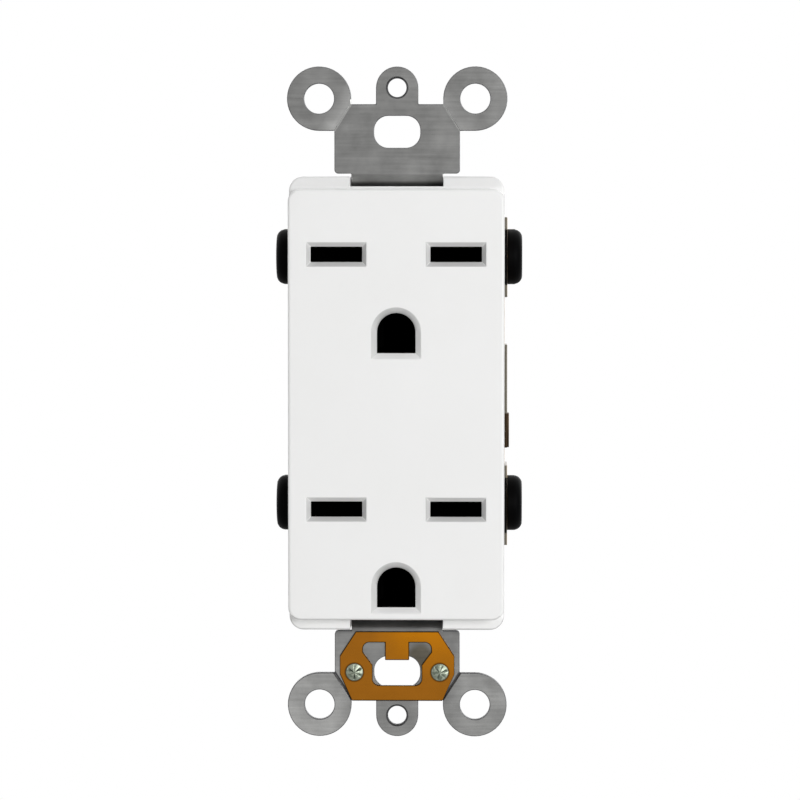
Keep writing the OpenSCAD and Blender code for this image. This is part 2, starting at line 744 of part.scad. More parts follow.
// Green hexagon-headed screw of the ground terminal
module ground_screw() {
    under = washer_x + washer_t + seat;
    top = under + ground_head_h;
    color("#2E6B3C") mirror([1, 0, 0]) translate([0, screw_depth, ground_axis_z]) difference() {
        union() {
            shank(ground_shank_x, top - ground_head_h / 2);
            translate([under, 0, 0]) rotate([0, 90, 0])
                cylinder(h = ground_head_h, d = ground_head_d, $fn = 6);
        }
        box([top - drive_depth, top + cut], around(0, ground_head_d), around(0, drive_w / 2));
    }
}

// Square washer held under the ground screw's head
module ground_washer() {
    half = tab_half - slip;
    color("#9A9C94") mirror([1, 0, 0]) translate([0, screw_depth, ground_axis_z]) difference() {
        box([washer_x, washer_x + washer_t], around(0, half), around(0, half));
        pin_x(screw_d + 2 * thread_gap, washer_x - cut, washer_x + washer_t + cut);
    }
}

face_cover();
back_body();
mounting_strap();
ground_clip();
ground_clip_rivets();
hot_contact_left();
hot_contact_right();
ground_contact(0);  // ground_contact_upper
ground_contact(1);  // ground_contact_lower
ground_contact_rivets();
assembly_screws();
terminal_screw_at(0, 1);  // terminal_screw_upper_left
terminal_screw_at(0, 0);  // terminal_screw_upper_right
terminal_screw_at(1, 1);  // terminal_screw_lower_left
terminal_screw_at(1, 0);  // terminal_screw_lower_right
wire_clamp_at(0, 1);  // wire_clamp_upper_left
wire_clamp_at(0, 0);  // wire_clamp_upper_right
wire_clamp_at(1, 1);  // wire_clamp_lower_left
wire_clamp_at(1, 0);  // wire_clamp_lower_right
ground_screw();
ground_washer();
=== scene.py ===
import math

import bmesh
import bpy
from mathutils import Matrix, Vector


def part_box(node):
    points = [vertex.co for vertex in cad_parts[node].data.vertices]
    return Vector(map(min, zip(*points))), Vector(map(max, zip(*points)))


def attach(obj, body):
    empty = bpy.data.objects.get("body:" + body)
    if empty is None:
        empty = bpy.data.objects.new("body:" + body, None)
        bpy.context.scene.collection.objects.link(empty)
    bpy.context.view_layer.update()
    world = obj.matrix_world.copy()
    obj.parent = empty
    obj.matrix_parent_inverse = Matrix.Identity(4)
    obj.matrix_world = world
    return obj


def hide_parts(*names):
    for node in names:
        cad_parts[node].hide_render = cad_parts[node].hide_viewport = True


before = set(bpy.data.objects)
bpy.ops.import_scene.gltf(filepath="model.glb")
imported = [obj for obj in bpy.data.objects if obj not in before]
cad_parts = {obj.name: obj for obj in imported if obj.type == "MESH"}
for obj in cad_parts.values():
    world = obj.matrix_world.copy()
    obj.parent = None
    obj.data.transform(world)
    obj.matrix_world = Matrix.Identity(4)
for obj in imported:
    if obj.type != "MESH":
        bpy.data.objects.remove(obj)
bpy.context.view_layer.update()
mm = 0.001


# Back body: the half that goes into the wall box, one moulding of dark glass-filled thermoplastic.
# It holds the contacts in open chambers and has two wire holes behind each terminal screw.
# Six ejector pins have left round marks on its back. Screws from behind draw the two halves together.
chamber_half_w, chamber_half_h, chamber_back_y = 16 * mm, 33 * mm, 23.7 * mm
recess_side_x, recess_front_y, recess_top_z = -10.9 * mm, 9.5 * mm, -23.8 * mm
mark_r, mark_depth = 1.2 * mm, 0.12 * mm
mark_x, mark_z = 9.3 * mm, (-31.2 * mm, 3.3 * mm, 31.2 * mm)
edge_w = 0.14 * mm
weld, flat_angle = 0.002 * mm, math.radians(0.6)
tint = {"data_type": "RGBA"}


def colour(code):
    parts = [int(code[i:i + 2], 16) / 255 for i in (1, 3, 5)]
    return [p / 12.92 if p <= 0.04045 else ((p + 0.055) / 1.055) ** 2.4 for p in parts] + [1]


# Adds a shader node with its settings and links. A node given as an input stands for its first output in use.
def add(material, kind, inputs=None, **settings):
    node = material.node_tree.nodes.new("ShaderNode" + kind)
    for name, value in settings.items():
        setattr(node, name, value)
    for name, value in (inputs or {}).items():
        live = [socket for socket in node.inputs if socket.enabled and socket.name == name]
        target = live[0] if live else node.inputs[name]
        if isinstance(value, bpy.types.Node):
            value = [socket for socket in value.outputs if socket.enabled][0]
        if isinstance(value, bpy.types.NodeSocket):
            material.node_tree.links.new(value, target)
        else:
            target.default_value = value
    return node


def new_finish(name):
    finish = bpy.data.materials.new(name)
    finish.use_nodes = True
    finish.node_tree.nodes.clear()
    return finish


def dress(piece, *finishes):
    piece.data.materials.clear()
    for finish in finishes:
        piece.data.materials.append(finish)


def start_alone(piece):
    bpy.ops.object.select_all(action="DESELECT")
    piece.select_set(True)
    bpy.context.view_layer.objects.active = piece


def apply_modifier(piece, kind, **settings):
    start_alone(piece)
    modifier = piece.modifiers.new(kind, kind)
    for name, value in settings.items():
        setattr(modifier, name, value)
    bpy.ops.object.modifier_apply(modifier=modifier.name)


def smooth(piece, angle=34):
    start_alone(piece)
    bpy.ops.object.shade_smooth_by_angle(angle=math.radians(angle))
    apply_modifier(piece, "WEIGHTED_NORMAL", keep_sharp=True, weight=80)


def break_edges(piece, width, sharper_than, edge_slot=-1):
    apply_modifier(piece, "BEVEL", width=width, segments=2, limit_method="ANGLE",
                   angle_limit=math.radians(sharper_than), use_clamp_overlap=False, material=edge_slot)


def finished_copy(node, width, finishes, edge_slot=-1, sharper_than=36):
    piece = bpy.data.objects.new(node + "_finished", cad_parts[node].data.copy())
    bpy.context.scene.collection.objects.link(piece)
    dress(piece, *finishes)
    start_alone(piece)
    bpy.ops.object.mode_set(mode="EDIT")
    bpy.ops.mesh.select_all(action="SELECT")
    bpy.ops.mesh.customdata_custom_splitnormals_clear()
    bpy.ops.mesh.remove_doubles(threshold=weld)
    bpy.ops.mesh.dissolve_limited(angle_limit=flat_angle)
    bpy.ops.object.mode_set(mode="OBJECT")
    break_edges(piece, width, sharper_than, edge_slot)
    smooth(piece)
    return piece


def finish_faces(piece, slot, test):
    for face in piece.data.polygons:
        if test(face.center, face.normal):
            face.material_index = slot


def round_bar(name, sides, radius, start, end, tip_radius=None):
    run = Vector(end) - Vector(start)
    bpy.ops.object.select_all(action="DESELECT")
    bpy.ops.mesh.primitive_cone_add(vertices=sides, radius1=radius, depth=run.length,
                                    radius2=radius if tip_radius is None else tip_radius,
                                    location=Vector(start) + run / 2,
                                    rotation=Vector((0, 0, 1)).rotation_difference(run).to_euler())
    piece = bpy.context.object
    piece.name = name
    bpy.ops.object.transform_apply(location=True, rotation=True, scale=True)
    return piece


def cut(piece, cutter, operation="DIFFERENCE"):
    apply_modifier(piece, "BOOLEAN", object=cutter, operation=operation, solver="EXACT")
    bpy.data.objects.remove(cutter)


# Dark thermoplastic: a dull moulded skin in which the glass fibres just show.
dark_plastic = new_finish("glass_filled_thermoplastic")
place = add(dark_plastic, "TexCoord").outputs["Object"]
fibres = add(dark_plastic, "TexNoise", {"Vector": place, "Scale": 1 / (0.5 * mm), "Detail": 4})
grain = add(dark_plastic, "TexNoise", {"Vector": place, "Scale": 1 / (0.22 * mm), "Detail": 2})
skin = add(dark_plastic, "Mix", {"Factor": fibres, "A": colour("#1D1E20"), "B": colour("#303134")}, **tint)
rough = add(dark_plastic, "MapRange", {"Value": fibres, "To Min": 0.46, "To Max": 0.68})
relief = add(dark_plastic, "Bump", {"Height": grain, "Strength": 0.25, "Distance": 0.02 * mm})
shader = add(dark_plastic, "BsdfPrincipled", {"Base Color": skin, "Roughness": rough, "Normal": relief,
             "IOR": 1.53, "Specular IOR Level": 0.4})
add(dark_plastic, "OutputMaterial", {"Surface": shader})

# The same plastic where handling has rubbed an edge a little paler and smoother.
rubbed_plastic = new_finish("rubbed_thermoplastic_edge")
place = add(rubbed_plastic, "TexCoord").outputs["Object"]
wear = add(rubbed_plastic, "TexNoise", {"Vector": place, "Scale": 1 / (2.5 * mm), "Detail": 4})
skin = add(rubbed_plastic, "Mix", {"Factor": wear, "A": colour("#2A2B2D"), "B": colour("#55565A")}, **tint)
shader = add(rubbed_plastic, "BsdfPrincipled", {"Base Color": skin, "Roughness": 0.42, "IOR": 1.53,
             "Specular IOR Level": 0.4})
add(rubbed_plastic, "OutputMaterial", {"Surface": shader})

# The chambers get no light from the room, so what lies in them is painted matt black as painted shade.
unlit_colour = colour("#040404")
unlit = new_finish("unlit_chamber")
shader = add(unlit, "BsdfDiffuse", {"Color": unlit_colour})
add(unlit, "OutputMaterial", {"Surface": shader})


def in_chamber(point, normal):
    in_recess = point.x < recess_side_x and point.y > recess_front_y and point.z < recess_top_z
    within = abs(point.x) < chamber_half_w and point.y < chamber_back_y and abs(point.z) < chamber_half_h
    return within and not in_recess


body = finished_copy("back_body", edge_w, [dark_plastic, unlit, rubbed_plastic], edge_slot=2)
# The walls of the chambers get that black, as painted shade.
finish_faces(body, 1, in_chamber)
back_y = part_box("back_body")[1].y
for x in (-mark_x, mark_x):
    for z in mark_z:
        cut(body, round_bar("ejector_mark", 40, mark_r, (x, back_y - mark_depth, z), (x, back_y + mm, z)))
smooth(body)
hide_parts("back_body")
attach(body, "housing")


# Hot and ground contacts: strips of rolled brass, cut and bent, pushed into the body from the front.
# The hot ones end in terminal plates outside the body, joined by a link that can be broken off.
# Sheared edges are dull. Beside the right screws they carry black painted shade, and on the link's lip brown.
lip_z, lip_half_h = -5.0 * mm, 2.7 * mm
body_side_x, edge_w = 16.1 * mm, 0.09 * mm
sheared_below, rounded_below = 0.93, 0.998
times = {"data_type": "RGBA", "blend_type": "MULTIPLY"}

# Rolled brass: warm yellow, with fine lines along the strip and a cloudy tarnish.
brass = new_finish("rolled_brass")
coordinates = add(brass, "TexCoord").outputs
place = coordinates["Object"]
spot = add(brass, "SeparateXYZ", {"Vector": place}).outputs
along_roll = add(brass, "Mapping", {"Vector": place,
                 "Scale": (1 / (0.3 * mm), 1 / (0.3 * mm), 1 / (7 * mm))})
rolled = add(brass, "TexNoise", {"Vector": along_roll, "Scale": 1, "Detail": 3})
tarnish = add(brass, "TexNoise", {"Vector": place, "Scale": 1 / (3.5 * mm), "Detail": 5})
metal = add(brass, "Mix", {"Factor": tarnish, "A": colour("#8F6C2C"), "B": colour("#D2A853")}, **tint)
streak = add(brass, "MapRange", {"Value": rolled, "To Min": 0.78, "To Max": 1.15})
metal = add(brass, "Mix", {"Factor": 1.0, "A": metal, "B": streak}, **times)

# Its edges, told from its faces by how far they turn from the sideways direction.
sideways = add(brass, "SeparateXYZ", {"Vector": coordinates["Normal"]}).outputs["X"]
sideways = add(brass, "Math", {0: sideways}, operation="ABSOLUTE")
edge = add(brass, "Math", {0: sideways, 1: sheared_below}, operation="LESS_THAN")
metal = add(brass, "Mix", {"Factor": edge, "A": metal, "B": colour("#57534B")}, **tint)
rim = add(brass, "Math", {0: sideways, 1: rounded_below}, operation="LESS_THAN")
# Painted shade: beside the right screws the brass not facing sideways is black, and on the link's lip brown.
painted_shade_bands = []
for node in ("terminal_screw_upper_right", "terminal_screw_lower_right"):
    low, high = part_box(node)
    painted_shade_bands.append(((low.z + high.z) / 2, (high.z - low.z) / 2, "#0B0A09"))
painted_shade_bands.append((lip_z, lip_half_h, "#2A2118"))
for middle_z, half_h, code in painted_shade_bands:
    beside = add(brass, "Math", {0: spot["Z"], 1: middle_z, 2: half_h}, operation="COMPARE")
    beside = add(brass, "Math", {0: beside, 1: rim}, operation="MULTIPLY")
    metal = add(brass, "Mix", {"Factor": beside, "A": metal, "B": colour(code)}, **tint)
rough = add(brass, "MapRange", {"Value": rolled, "To Min": 0.26, "To Max": 0.5})
relief = add(brass, "Bump", {"Height": rolled, "Strength": 0.15, "Distance": 0.02 * mm})
shader = add(brass, "BsdfPrincipled", {"Base Color": metal, "Roughness": rough, "Normal": relief,
             "Metallic": 1.0})

# What lies within the body is painted as dark as its chamber, as painted shade.
inside = add(brass, "Math", {0: spot["X"]}, operation="ABSOLUTE")
inside = add(brass, "Math", {0: inside, 1: body_side_x}, operation="LESS_THAN")
dark = add(brass, "BsdfDiffuse", {"Color": unlit_colour})
shader = add(brass, "MixShader", {0: inside, 1: shader, 2: dark})
add(brass, "OutputMaterial", {"Surface": shader})

for node in ("hot_contact_left", "hot_contact_right", "ground_contact_upper", "ground_contact_lower"):
    contact = finished_copy(node, edge_w, [brass])
    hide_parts(node)
    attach(contact, "housing")


# Wire clamps: tapped steel nut plates, yellow zinc plated, one on the shank of each terminal screw.
# Two cross grooves on the outer face bite the wires. A clamp slides out as its screw is turned in.
edge_w = 0.12 * mm


def plated(name, patch, dark, pale, smoothest, roughest, metallic=1.0):
    finish = new_finish(name)
    place = add(finish, "TexCoord").outputs["Object"]
    clouds = add(finish, "TexNoise", {"Vector": place, "Scale": 1 / patch, "Detail": 4})
    film = add(finish, "Mix", {"Factor": clouds, "A": colour(dark), "B": colour(pale)}, **tint)
    rough = add(finish, "MapRange", {"Value": clouds, "To Min": smoothest, "To Max": roughest})
    shader = add(finish, "BsdfPrincipled", {"Base Color": film, "Roughness": rough, "Metallic": metallic})
    add(finish, "OutputMaterial", {"Surface": shader})
    return finish


# Yellow zinc: a passivated film, straw-coloured and slightly cloudy.
yellow_zinc = plated("yellow_zinc_plated_steel", 1.8 * mm, "#8F8352", "#C9BD8E", 0.3, 0.48)

corners = [level + "_" + side for level in ("upper", "lower") for side in ("left", "right")]
for corner in corners:
    clamp = finished_copy("wire_clamp_" + corner, edge_w, [yellow_zinc])
    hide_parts("wire_clamp_" + corner)
    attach(clamp, "wire_clamp_" + corner)


# Terminal screws: black oxide steel screws with a round binding head, a slot and a shorter cross slot.
# Turning one draws its clamp outwards. The thread is rolled, 32 to the inch, and ends in a short point.
head_d, head_h, rim_r, edge_w = 8.7 * mm, 2.3 * mm, 1.3 * mm, 0.09 * mm
seat_drop, seat_edge = 0.02 * mm, 0.04 * mm
slot_w, slot_deep, cross_deep = 1.2 * mm, 1.05 * mm, 1.5 * mm
thread_d, pitch, thread_depth = 4.1 * mm, 0.79375 * mm, 0.42 * mm
thread_steps = ((0.38, 1), (0.12, 0), (0.38, -1), (0.12, 0))
point_h, point_taper, overlap = 0.6 * mm, 0.35 * mm, 0.3 * mm
near = 0.01 * mm
root_r = thread_d / 2 - thread_depth


def on_axis(x):
    return x, axis_y, axis_z


def pick(kind, test):
    mesh = bpy.context.object.data
    bpy.ops.mesh.select_mode(type=kind)
    bpy.ops.mesh.select_all(action="DESELECT")
    shape = bmesh.from_edit_mesh(mesh)
    for item in {"VERT": shape.verts, "EDGE": shape.edges, "FACE": shape.faces}[kind]:
        points = [item.co] if kind == "VERT" else [v.co for v in item.verts]
        item.select_set(bool(test(sum(points, Vector()) / len(points))))
    shape.select_flush_mode()
    bmesh.update_edit_mesh(mesh)


def block(low, high):
    bpy.ops.object.select_all(action="DESELECT")
    low, high = Vector(low), Vector(high)
    bpy.ops.mesh.primitive_cube_add(size=1, location=(low + high) / 2, scale=high - low)
    bpy.ops.object.transform_apply(location=True, rotation=True, scale=True)
    return bpy.context.object


def join(pieces):
    start_alone(pieces[0])
    for piece in pieces:
        piece.select_set(True)
    bpy.ops.object.join()
    return pieces[0]


def thread(start, turns):
    bpy.ops.object.select_all(action="DESELECT")
    bpy.ops.mesh.primitive_plane_add(size=mm, location=on_axis(start))
    piece = bpy.context.object
    bpy.ops.object.mode_set(mode="EDIT")
    bpy.ops.mesh.select_all(action="SELECT")
    bpy.ops.mesh.merge(type="CENTER")
    bpy.ops.transform.translate(value=(0, root_r, 0))
    for share, rise in thread_steps:
        bpy.ops.mesh.extrude_region_move(
            TRANSFORM_OT_translate={"value": (share * pitch, rise * thread_depth, 0)})
    bpy.ops.object.mode_set(mode="OBJECT")
    apply_modifier(piece, "SCREW", axis="X", screw_offset=pitch, iterations=turns, steps=32, render_steps=32,
                   use_merge_vertices=True, merge_threshold=weld / 2)
    bpy.ops.object.transform_apply(location=True, rotation=True, scale=True)
    bpy.ops.object.mode_set(mode="EDIT")
    bpy.ops.mesh.select_all(action="SELECT")
    bpy.ops.mesh.remove_doubles(threshold=weld / 2)
    bpy.ops.mesh.fill_holes(sides=0)
    bpy.ops.mesh.select_all(action="SELECT")
    bpy.ops.mesh.normals_make_consistent(inside=False)
    bpy.ops.object.mode_set(mode="OBJECT")
    return piece


# Black oxide: a thin black film that keeps almost no shine, with a paler painted sheen on the crown.
crown_from, crown_to = 0.78, 0.98
black_oxide = new_finish("black_oxide_steel")
coordinates = add(black_oxide, "TexCoord").outputs
wear_and_highlight = add(black_oxide, "TexNoise", {"Vector": coordinates["Object"], "Scale": 1 / (0.9 * mm), "Detail": 4})
film = add(black_oxide, "Mix", {"Factor": wear_and_highlight, "A": colour("#010101"), "B": colour("#050506")}, **tint)
# Painted sheen: the crown, which faces along the screw's axis, is paler.
crown = add(black_oxide, "SeparateXYZ", {"Vector": coordinates["Normal"]}).outputs["X"]
crown = add(black_oxide, "Math", {0: crown}, operation="ABSOLUTE")
crown = add(black_oxide, "MapRange", {"Value": crown, "From Min": crown_from, "From Max": crown_to},
            interpolation_type="SMOOTHSTEP")
film = add(black_oxide, "Mix", {"Factor": crown, "A": film, "B": colour("#2C2C2F")}, **tint)
rough = add(black_oxide, "MapRange", {"Value": wear_and_highlight, "To Min": 0.42, "To Max": 0.62})
shader = add(black_oxide, "BsdfPrincipled", {"Base Color": film, "Roughness": rough,
             "Specular IOR Level": 0.025})
add(black_oxide, "OutputMaterial", {"Surface": shader})

# The edges of the slots, where the film is worn through to dark bare metal.
worn_oxide = new_finish("worn_black_oxide")
shader = add(worn_oxide, "BsdfPrincipled", {"Base Color": colour("#3A3A3C"), "Roughness": 0.4,
             "Metallic": 1.0})
add(worn_oxide, "OutputMaterial", {"Surface": shader})

low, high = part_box("terminal_screw_upper_right")
axis_y, axis_z = (low.y + high.y) / 2, (low.z + high.z) / 2
top, seat, tip = high.x, high.x - head_h, low.x
under = seat - seat_drop
head = round_bar("terminal_screw_head", 64, head_d / 2, on_axis(under), on_axis(top))
bpy.ops.object.mode_set(mode="EDIT")
pick("EDGE", lambda p: p.x > top - near)
bpy.ops.mesh.bevel(offset=rim_r, segments=7, affect="EDGES")
pick("EDGE", lambda p: p.x < under + near)
bpy.ops.mesh.bevel(offset=seat_edge, segments=2, affect="EDGES")
bpy.ops.object.mode_set(mode="OBJECT")
cut(head, block((top - slot_deep, axis_y - slot_w / 2, axis_z - head_d),
                (top + mm, axis_y + slot_w / 2, axis_z + head_d)))
cut(head, block((top - cross_deep, axis_y - head_d / 4, axis_z - slot_w / 2),
                (top + mm, axis_y + head_d / 4, axis_z + slot_w / 2)))
dress(head, black_oxide, worn_oxide)
break_edges(head, edge_w, sharper_than=42, edge_slot=1)
turns = math.floor((seat - tip - point_h) / pitch)
start = tip + point_h
point = round_bar("terminal_screw_point", 32, root_r - point_taper, on_axis(tip),
                  on_axis(start + overlap), root_r)
neck = round_bar("terminal_screw_neck", 32, root_r, on_axis(start + (turns - 0.3) * pitch),
                 on_axis(seat + overlap))
screw = join([head, thread(start, turns), point, neck])
screw.name = "terminal_screw_upper_right_finished"
smooth(screw, 40)
for corner in corners:
    node = "terminal_screw_" + corner
    placed = screw
    if corner != "upper_right":
        placed = screw.copy()
        placed.data = screw.data.copy()
        bpy.context.scene.collection.objects.link(placed)
        placed.name = node + "_finished"
        low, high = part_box(node)
        shift = Matrix.Translation((0, 0, (low.z + high.z) / 2 - axis_z))
        if corner.endswith("left"):
            about = Matrix.Translation((0, axis_y, 0))
            shift = shift @ about @ Matrix.Rotation(math.pi, 4, "Z") @ about.inverted()
        placed.data.transform(shift)
    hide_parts(node)
    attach(placed, node)


# Mounting strap: one strip of galvanised steel, blanked, pierced and bent round the whole body.
# Its eared ends lie on the wall, with a score across the neck of each ear, where it can be broken off.
# The rolled grain runs across the strip. Its sheared edges are dull, with painted shade darker than its
# faces.
score_from, score_to = Vector((9.65, 41.82)) * mm, Vector((7.07, 45.9)) * mm
score_side = (score_to - score_from).normalized().orthogonal()
score_clear, edge_w, flat_above = 0.3 * mm, 0.13 * mm, 0.96
upper_bend_z, lower_bend_z, ends_z = 34.35 * mm, -34.6 * mm, 35.3 * mm
stain_at = (3.6 * mm, -1.3 * mm, -39.2 * mm)
plate_hole_z, plate_hole_r = 48.42 * mm, 1.8 * mm


def set_tones(ramp, tones):
    stops = ramp.color_ramp.elements
    stops[0].color = [tones[0][1]] * 3 + [1]
    stops[-1].color = [tones[-1][1]] * 3 + [1]
    for at, tone in tones[1:-1]:
        stops.new(at).color = [tone] * 3 + [1]


# Galvanised steel: a grey, half-bright zinc skin with rolling lines and soft clouds of tone.
steel = new_finish("galvanised_steel")
place = add(steel, "TexCoord").outputs["Object"]
spot = add(steel, "SeparateXYZ", {"Vector": place}).outputs
out_x = add(steel, "Math", {0: spot["X"]}, operation="ABSOLUTE")
along_roll = add(steel, "Mapping", {"Vector": place,
                 "Scale": (1 / (9 * mm), 1 / (0.35 * mm), 1 / (0.35 * mm))})
rolled = add(steel, "TexNoise", {"Vector": along_roll, "Scale": 1, "Detail": 4, "Roughness": 0.6})
clouds = add(steel, "TexNoise", {"Vector": place, "Scale": 1 / (4 * mm), "Detail": 7})
zinc = add(steel, "Mix", {"Factor": rolled, "A": colour("#646463"), "B": colour("#747473")}, **tint)
tone = add(steel, "MapRange", {"Value": clouds, "From Min": 0.3, "From Max": 0.7,
           "To Min": 0.8, "To Max": 1.2})
zinc = add(steel, "Mix", {"Factor": 1.0, "A": zinc, "B": tone}, **times)

# The lower end is paler, most of all on its ears and towards the left.
paler = add(steel, "MapRange", {"Value": spot["Z"], "From Min": -46 * mm, "From Max": -20 * mm,
            "To Min": 1.56, "To Max": 1.0})
zinc = add(steel, "Mix", {"Factor": 1.0, "A": zinc, "B": paler}, **times)
# Between the ears, round the clip, the lower end is darker: painted shadow of the clip.
on_ears = add(steel, "MapRange", {"Value": out_x, "From Min": 7 * mm, "From Max": 10 * mm,
              "To Min": 0.8, "To Max": 1.06})
leftwards = add(steel, "MapRange", {"Value": spot["X"], "From Min": -14 * mm, "From Max": 14 * mm,
                "To Min": 1.14, "To Max": 0.86})
on_ears = add(steel, "Math", {0: on_ears, 1: leftwards}, operation="MULTIPLY")
lower_end = add(steel, "MapRange", {"Value": spot["Z"], "From Min": -36.5 * mm, "From Max": -34.5 * mm,
                "To Min": 1.0, "To Max": 0.0})
zinc = add(steel, "Mix", {"Factor": lower_end, "A": zinc, "B": on_ears}, **times)

# Of the two front bends, the lower one has painted shade and the upper one a painted highlight.
front = add(steel, "MapRange", {"Value": spot["Y"], "From Min": 1.5 * mm, "From Max": 4 * mm,
            "To Min": 1.0, "To Max": 0.0})
lower = add(steel, "Math", {0: spot["Z"], 1: 0.0}, operation="LESS_THAN")
bend_shade = add(steel, "MapRange", {"Value": spot["Z"], "From Min": lower_bend_z - 1.6 * mm,
             "From Max": lower_bend_z, "To Min": 0.0, "To Max": 0.6}, interpolation_type="SMOOTHSTEP")
for limit in (front, lower):
    bend_shade = add(steel, "Math", {0: bend_shade, 1: limit}, operation="MULTIPLY")
zinc = add(steel, "Mix", {"Factor": bend_shade, "A": zinc, "B": colour("#242425")}, **tint)
upper = add(steel, "Math", {0: spot["Z"], 1: upper_bend_z - 0.75 * mm}, operation="GREATER_THAN")
upper = add(steel, "Math", {0: upper, 1: front}, operation="MULTIPLY")
from_bend = add(steel, "Math", {0: spot["Z"], 1: upper_bend_z}, operation="SUBTRACT")
from_bend = add(steel, "Math", {0: from_bend}, operation="ABSOLUTE")
wear_and_highlight = add(steel, "MapRange", {"Value": from_bend, "From Min": 0.1 * mm, "From Max": 0.75 * mm,
             "To Min": 2.8, "To Max": 1.0}, interpolation_type="SMOOTHSTEP")
zinc = add(steel, "Mix", {"Factor": upper, "A": zinc, "B": wear_and_highlight}, **times)

# Upper scores: painted light in the groove against its shade, a painted highlight band beside it, mostly on
# the left ear.
across = add(steel, "CombineXYZ", {"X": out_x, "Y": spot["Z"]})
across = add(steel, "VectorMath", {0: across, 1: (*score_from, 0)}, operation="SUBTRACT")
across = add(steel, "VectorMath", {0: across, 1: (*score_side, 0)}, operation="DOT_PRODUCT")
groove = add(steel, "Math", {0: across}, operation="ABSOLUTE")
groove = add(steel, "MapRange", {"Value": groove, "From Min": 0.06 * mm, "From Max": 0.18 * mm,
             "To Min": 1.7, "To Max": 1.0}, interpolation_type="SMOOTHSTEP")
zinc = add(steel, "Mix", {"Factor": 1.0, "A": zinc, "B": groove}, **times)
score_light_band = add(steel, "MapRange", {"Value": across, "From Min": -2.4 * mm, "From Max": 1.2 * mm})
score_light_band = add(steel, "ValToRGB", {"Fac": score_light_band})
set_tones(score_light_band, ((0, 1.0), (0.33, 1.3), (0.53, 1.5), (0.64, 1.35), (0.74, 0.87), (1, 1.0)))
left_more = add(steel, "MapRange", {"Value": spot["X"], "From Min": -mm, "From Max": mm,
                "To Min": 1.0, "To Max": 0.4})
zinc = add(steel, "Mix", {"Factor": left_more, "A": zinc, "B": score_light_band}, **times)

# A brownish stain beside the box-screw slot of the lower end.
stained = add(steel, "VectorMath", {0: place, 1: stain_at}, operation="DISTANCE")
stained = add(steel, "MapRange", {"Value": stained, "From Min": 1.2 * mm, "From Max": 2.6 * mm,
              "To Min": 1.0, "To Max": 0.0}, interpolation_type="SMOOTHSTEP")
zinc = add(steel, "Mix", {"Factor": stained, "A": zinc, "B": colour("#BFB7A6")}, **times)
rough = add(steel, "MapRange", {"Value": rolled, "To Min": 0.24, "To Max": 0.36})
relief = add(steel, "Bump", {"Height": rolled, "Strength": 0.3, "Distance": 0.02 * mm})
shader = add(steel, "BsdfPrincipled", {"Base Color": zinc, "Roughness": rough, "Normal": relief,
             "Metallic": 1.0})
add(steel, "OutputMaterial", {"Surface": shader})


def cut_metal(name, dark, pale):
    finish = new_finish(name)
    place = add(finish, "TexCoord").outputs["Object"]
    bitten = add(finish, "TexNoise", {"Vector": place, "Scale": 1 / (0.6 * mm), "Detail": 3})
    shade = add(finish, "Mix", {"Factor": bitten, "A": colour(dark), "B": colour(pale)}, **tint)
    shader = add(finish, "BsdfPrincipled", {"Base Color": shade, "Roughness": 0.5, "Metallic": 1.0})
    add(finish, "OutputMaterial", {"Surface": shader})
    return finish


# Sheared steel: the bare edge that the blanking die leaves, dull and torn, with painted shade making it
# darker.
sheared_edge_shade = cut_metal("sheared_steel_edge", "#3E3E3F", "#6A6A6B")


def is_sheared(point, normal):
    # Round each plate hole the dark edge finish is a painted ring of shade.
    hole_shade = math.hypot(point.x, abs(point.z) - plate_hole_z) < plate_hole_r
    off_score = abs(score_side.dot(Vector((abs(point.x), point.z)) - score_from)) > score_clear
    return hole_shade or (abs(normal.y) < flat_above and abs(point.z) > ends_z and off_score)


strap = finished_copy("mounting_strap", edge_w, [steel, sheared_edge_shade], sharper_than=50)
finish_faces(strap, 1, is_sheared)
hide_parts("mounting_strap")
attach(strap, "housing")


# Strap rivets: two zinc plated steel rivets through the strap, the floor of the body and the ground contacts.
# Their low domed heads show on the back. The tails are spread inside the body, on the contacts.
rivet_d, rivet_head_d, tail_d, tail_h, tail_edge = 3.0 * mm, 5.2 * mm, 4.0 * mm, 0.9 * mm, 0.4 * mm
rivet_rim_h, within_y = 0.12 * mm, 22 * mm
dome_steps = ((0.35, 0.17), (0.5, 0.14), (0.55, 0.1), (0.6, 0.04))

# Bright zinc: a clear, slightly cloudy plating with a silvery shine.
bright_zinc = plated("zinc_plated_steel", 0.8 * mm, "#84877E", "#C4C7BC", 0.24, 0.42)

low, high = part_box("ground_contact_rivets")
back_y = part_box("mounting_strap")[1].y
pieces = []
for z in (low.z + rivet_head_d / 2, high.z - rivet_head_d / 2):
    rivet = round_bar("strap_rivet", 48, rivet_head_d / 2, (0, back_y, z), (0, back_y + rivet_rim_h, z))
    bpy.ops.object.mode_set(mode="EDIT")
    pick("FACE", lambda p: p.y > back_y + rivet_rim_h - near)
    for inset, rise in dome_steps:
        bpy.ops.mesh.inset(thickness=inset * mm)
        bpy.ops.transform.translate(value=(0, rise * mm, 0))
    bpy.ops.object.mode_set(mode="OBJECT")
    tail = round_bar("strap_rivet_tail", 40, tail_d / 2, (0, low.y, z), (0, low.y + tail_h, z))
    bpy.ops.object.mode_set(mode="EDIT")
    pick("EDGE", lambda p: p.y < low.y + near)
    bpy.ops.mesh.bevel(offset=tail_edge, segments=4, affect="EDGES")
    bpy.ops.object.mode_set(mode="OBJECT")
    shank = round_bar("strap_rivet_shank", 40, rivet_d / 2, (0, low.y + tail_h / 2, z),
                      (0, back_y + rivet_rim_h - 0.02 * mm, z))
    pieces += [rivet, tail, shank]
rivets = join(pieces)
rivets.name = "ground_contact_rivets_finished"
dress(rivets, bright_zinc, unlit)
smooth(rivets, 40)
# Inside the body the rivets get the chambers' black, as painted shade.
finish_faces(rivets, 1, lambda point, normal: point.y < within_y)
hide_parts("ground_contact_rivets")
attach(rivets, "housing")


